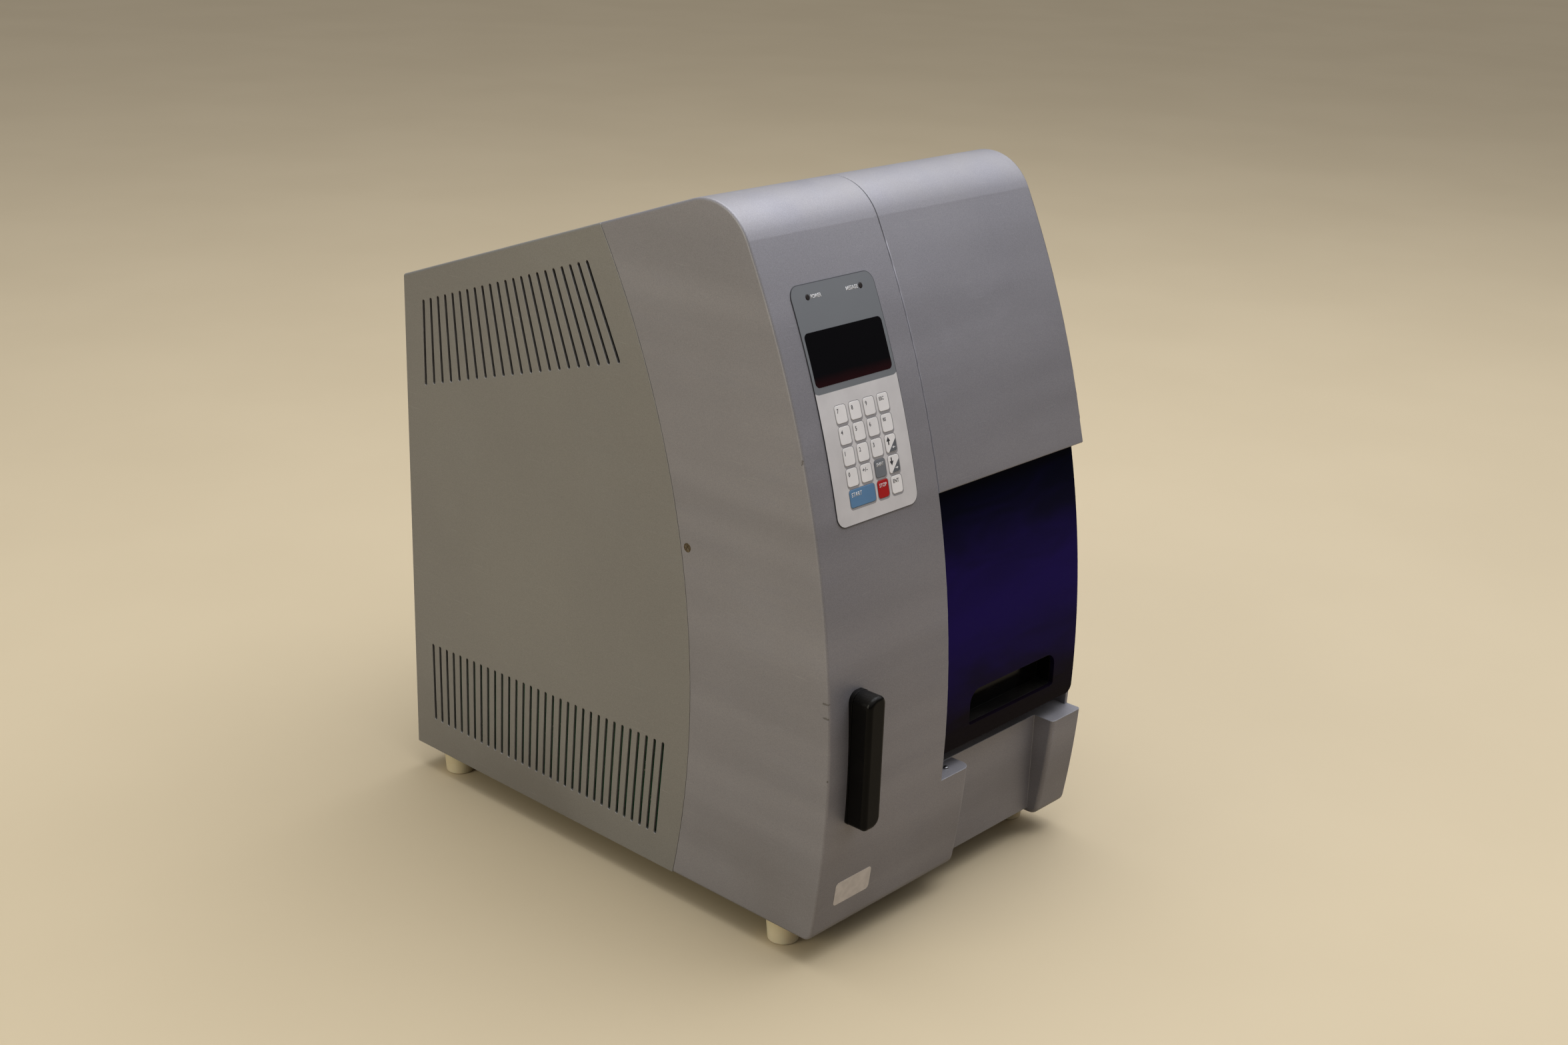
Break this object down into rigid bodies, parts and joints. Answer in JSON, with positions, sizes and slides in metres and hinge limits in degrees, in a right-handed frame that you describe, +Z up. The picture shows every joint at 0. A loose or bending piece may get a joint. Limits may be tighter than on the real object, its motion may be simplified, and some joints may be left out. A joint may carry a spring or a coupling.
{
  "type": "nucleic acid extractor",
  "caption": "Benchtop nucleic acid extractor: keypad tower, curved tinted door sliding up behind a hood, vented rear cover, pump head over removable racks.",
  "frame": {"origin": "on the surface that the feet stand on, under the middle of the overall box", "axes": "+Z up, -Y out of the front, +X to the right as the user faces the instrument"},
  "size_m": [0.32, 0.4944, 0.5558],
  "materials": {
    "silver_paint": "fine metallic satin",
    "cover_paint": "fine metallic satin",
    "grey_sheet": "satin",
    "cream_plastic": "matte",
    "brass": "worn",
    "tinted_acrylic": "polished",
    "gloss_black": "gloss",
    "steel": "ground",
    "aluminium": "anodised satin",
    "black_plastic": "moulded",
    "card_plastic": "satin",
    "overlay_film": "printed film",
    "smoked_window": "polished",
    "led_lens": "moulded lens",
    "circuit_board": "solder mask",
    "key_white": "embossed film",
    "key_blue": "embossed film",
    "key_red": "embossed film",
    "key_grey": "embossed film",
    "rack_plastic": "machined",
    "clear_plastic": "moulded"
  },
  "bodies": {
    "cabinet": {"tower_housing": "silver_paint", "hood": "silver_paint", "sill_panel": "silver_paint", "rear_cover": "cover_paint", "back_panel": "grey_sheet", "base_pan": "grey_sheet", "chamber_liner": "grey_sheet", "power_supply": "grey_sheet", "feet": "cream_plastic", "housing_screws": "brass", "card_slot_bezel": "gloss_black", "cover_hinge_pin": "steel", "door_rails": "steel", "y_rails": "steel", "worktable": "aluminium", "card_reader": "black_plastic", "fan_frame": "black_plastic", "power_inlet": "black_plastic", "panel_overlay": "overlay_film", "display_window": "smoked_window", "status_leds": "led_lens", "front_board": "circuit_board", "main_board": "circuit_board"},
    "door": {"door": "tinted_acrylic", "door_pull": "gloss_black", "door_shoes": "black_plastic"},
    "card_slot_cover": {"card_slot_cover": "gloss_black"},
    "program_card": {"program_card": "card_plastic"},
    "cartridge_rack": {"cartridge_rack": "rack_plastic", "reagent_cartridges": "clear_plastic"},
    "tip_rack": {"tip_rack": "rack_plastic", "filter_tips": "clear_plastic"},
    "y_carriage": {"y_carriage": "aluminium", "z_guides": "steel"},
    "pump_head": {"pump_frame": "aluminium", "pump_barrels": "aluminium", "head_motors": "black_plastic"},
    "plungers": {"plunger_plate": "aluminium"},
    "magnet_bar": {"magnet_bar": "aluminium"},
    "fan_rotor": {"fan_rotor": "black_plastic"},
    "power_switch": {"power_switch": "black_plastic"},
    "key_7": {"key_7": "key_white"},
    "key_8": {"key_8": "key_white"},
    "key_9": {"key_9": "key_white"},
    "key_escape": {"key_escape": "key_white"},
    "key_4": {"key_4": "key_white"},
    "key_5": {"key_5": "key_white"},
    "key_6": {"key_6": "key_white"},
    "key_back": {"key_back": "key_white"},
    "key_1": {"key_1": "key_white"},
    "key_2": {"key_2": "key_white"},
    "key_3": {"key_3": "key_white"},
    "key_up": {"key_up": "key_white"},
    "key_0": {"key_0": "key_white"},
    "key_sign": {"key_sign": "key_white"},
    "key_shift": {"key_shift": "key_grey"},
    "key_down": {"key_down": "key_white"},
    "key_start": {"key_start": "key_blue"},
    "key_stop": {"key_stop": "key_red"},
    "key_enter": {"key_enter": "key_white"}
  },
  "joints": [
    {"name": "door_lift", "type": "hinge", "parent": "cabinet", "child": "door", "pos_m": [0, 0.5878, 0.155], "axis": [-1, 0, 0], "range_deg": [0, 11.5]},
    {"name": "card_cover_hinge", "type": "hinge", "parent": "cabinet", "child": "card_slot_cover", "pos_m": [-0.1239, -0.2339, 0.1685], "axis": [0, 0, 1], "range_deg": [0, 88]},
    {"name": "card_eject", "type": "slide", "parent": "cabinet", "child": "program_card", "axis": [0, -1, 0], "range_m": [0, 0.003]},
    {"name": "cartridge_rack_lift", "type": "slide", "parent": "cabinet", "child": "cartridge_rack", "axis": [0, 0, 1], "range_m": [0, 0.04]},
    {"name": "tip_rack_lift", "type": "slide", "parent": "cabinet", "child": "tip_rack", "axis": [0, 0, 1], "range_m": [0, 0.04]},
    {"name": "carriage_travel", "type": "slide", "parent": "cabinet", "child": "y_carriage", "axis": [0, -1, 0], "range_m": [0, 0.055]},
    {"name": "head_travel", "type": "slide", "parent": "y_carriage", "child": "pump_head", "axis": [0, 0, 1], "range_m": [-0.11, 0]},
    {"name": "plunger_travel", "type": "slide", "parent": "pump_head", "child": "plungers", "axis": [0, 0, 1], "range_m": [0, 0.026]},
    {"name": "magnet_travel", "type": "slide", "parent": "pump_head", "child": "magnet_bar", "axis": [0, -1, 0], "range_m": [0, 0.012]},
    {"name": "fan_spin", "type": "hinge", "parent": "cabinet", "child": "fan_rotor", "pos_m": [0.082, 0.2288, 0.358], "axis": [0, 1, 0], "continuous": true},
    {"name": "power_rocker", "type": "hinge", "parent": "cabinet", "child": "power_switch", "pos_m": [-0.105, 0.241, 0.116], "axis": [-1, 0, 0], "range_deg": [0, 16]},
    {"name": "press_7", "type": "slide", "parent": "cabinet", "child": "key_7", "axis": [0, 0.9488, -0.3158], "range_m": [0, 0.0004], "stiffness_N_per_m": 1500},
    {"name": "press_8", "type": "slide", "parent": "cabinet", "child": "key_8", "axis": [0, 0.9488, -0.3158], "range_m": [0, 0.0004], "stiffness_N_per_m": 1500},
    {"name": "press_9", "type": "slide", "parent": "cabinet", "child": "key_9", "axis": [0, 0.9488, -0.3158], "range_m": [0, 0.0004], "stiffness_N_per_m": 1500},
    {"name": "press_escape", "type": "slide", "parent": "cabinet", "child": "key_escape", "axis": [0, 0.9488, -0.3158], "range_m": [0, 0.0004], "stiffness_N_per_m": 1500},
    {"name": "press_4", "type": "slide", "parent": "cabinet", "child": "key_4", "axis": [0, 0.9545, -0.2982], "range_m": [0, 0.0004], "stiffness_N_per_m": 1500},
    {"name": "press_5", "type": "slide", "parent": "cabinet", "child": "key_5", "axis": [0, 0.9545, -0.2982], "range_m": [0, 0.0004], "stiffness_N_per_m": 1500},
    {"name": "press_6", "type": "slide", "parent": "cabinet", "child": "key_6", "axis": [0, 0.9545, -0.2982], "range_m": [0, 0.0004], "stiffness_N_per_m": 1500},
    {"name": "press_back", "type": "slide", "parent": "cabinet", "child": "key_back", "axis": [0, 0.9545, -0.2982], "range_m": [0, 0.0004], "stiffness_N_per_m": 1500},
    {"name": "press_1", "type": "slide", "parent": "cabinet", "child": "key_1", "axis": [0, 0.9598, -0.2807], "range_m": [0, 0.0004], "stiffness_N_per_m": 1500},
    {"name": "press_2", "type": "slide", "parent": "cabinet", "child": "key_2", "axis": [0, 0.9598, -0.2807], "range_m": [0, 0.0004], "stiffness_N_per_m": 1500},
    {"name": "press_3", "type": "slide", "parent": "cabinet", "child": "key_3", "axis": [0, 0.9598, -0.2807], "range_m": [0, 0.0004], "stiffness_N_per_m": 1500},
    {"name": "press_up", "type": "slide", "parent": "cabinet", "child": "key_up", "axis": [0, 0.9598, -0.2807], "range_m": [0, 0.0004], "stiffness_N_per_m": 1500},
    {"name": "press_0", "type": "slide", "parent": "cabinet", "child": "key_0", "axis": [0, 0.9648, -0.2631], "range_m": [0, 0.0004], "stiffness_N_per_m": 1500},
    {"name": "press_sign", "type": "slide", "parent": "cabinet", "child": "key_sign", "axis": [0, 0.9648, -0.2631], "range_m": [0, 0.0004], "stiffness_N_per_m": 1500},
    {"name": "press_shift", "type": "slide", "parent": "cabinet", "child": "key_shift", "axis": [0, 0.9648, -0.2631], "range_m": [0, 0.0004], "stiffness_N_per_m": 1500},
    {"name": "press_down", "type": "slide", "parent": "cabinet", "child": "key_down", "axis": [0, 0.9648, -0.2631], "range_m": [0, 0.0004], "stiffness_N_per_m": 1500},
    {"name": "press_start", "type": "slide", "parent": "cabinet", "child": "key_start", "axis": [0, 0.9694, -0.2455], "range_m": [0, 0.0004], "stiffness_N_per_m": 1500},
    {"name": "press_stop", "type": "slide", "parent": "cabinet", "child": "key_stop", "axis": [0, 0.9694, -0.2455], "range_m": [0, 0.0004], "stiffness_N_per_m": 1500},
    {"name": "press_enter", "type": "slide", "parent": "cabinet", "child": "key_enter", "axis": [0, 0.9694, -0.2455], "range_m": [0, 0.0004], "stiffness_N_per_m": 1500}
  ]
}
